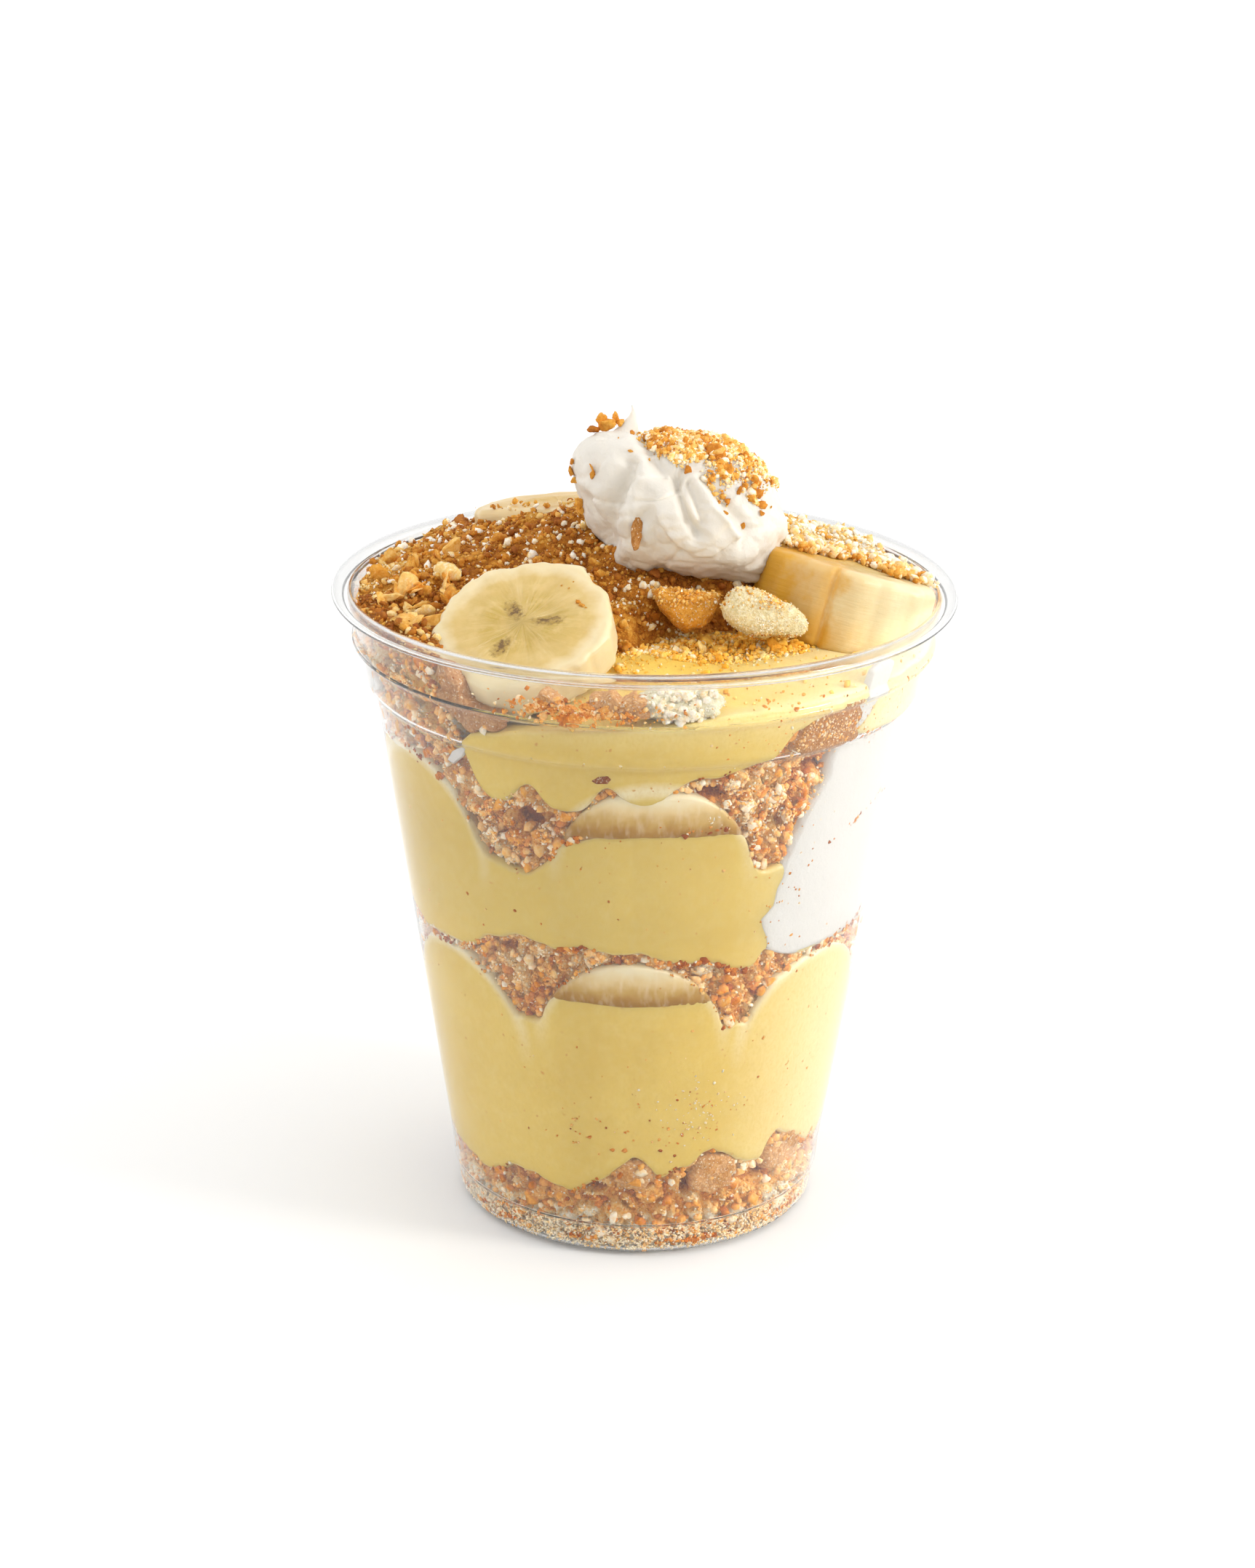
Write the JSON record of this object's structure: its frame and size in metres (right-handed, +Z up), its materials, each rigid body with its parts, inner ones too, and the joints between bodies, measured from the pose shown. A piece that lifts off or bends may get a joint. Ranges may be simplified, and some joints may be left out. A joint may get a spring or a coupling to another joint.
{
  "type": "banana pudding in a clear cup",
  "caption": "Round clear plastic cup filled to the rim with layers of custard, wafer crumbs and banana slices, heaped with crumbs, banana and a spoonful of whipped cream.",
  "frame": {"origin": "centre of the cup's foot, on the surface it stands on", "axes": "+Z up along the cup's axis, -Y towards the front that the picture shows, +X to the right seen from there"},
  "size_m": [0.098, 0.098, 0.1307],
  "materials": {
    "cup_plastic": "clear, glossy",
    "custard": "soft sheen",
    "cream": "satin",
    "banana": "moist satin",
    "crumb": "matt, grainy",
    "wafer": "matt, baked",
    "wafer_crumb": "matt, open crumb"
  },
  "bodies": {
    "root": {"banana_chunk_back": "banana", "banana_chunk_right": "banana", "banana_slice_top": "banana", "cream_dollop": "cream", "cream_side": "cream", "crumb_base": "crumb", "crumb_heap": "crumb", "crumb_middle": "crumb", "crumb_upper": "crumb", "cup": "cup_plastic", "custard_lower": "custard", "custard_middle": "custard", "custard_top": "custard", "slice_low_back": "banana", "slice_low_back_left": "banana", "slice_low_back_right": "banana", "slice_low_front": "banana", "slice_low_left": "banana", "slice_low_right": "banana", "slice_up_back": "banana", "slice_up_back_left": "banana", "slice_up_back_right": "banana", "slice_up_front": "banana", "slice_up_left": "banana", "wafer_base_front": "wafer", "wafer_base_right": "wafer", "wafer_base_side": "wafer", "wafer_brown": "wafer", "wafer_front": "wafer_crumb", "wafer_pale": "wafer_crumb", "wafer_shard_left": "wafer", "wafer_wall": "wafer"}
  },
  "joints": []
}
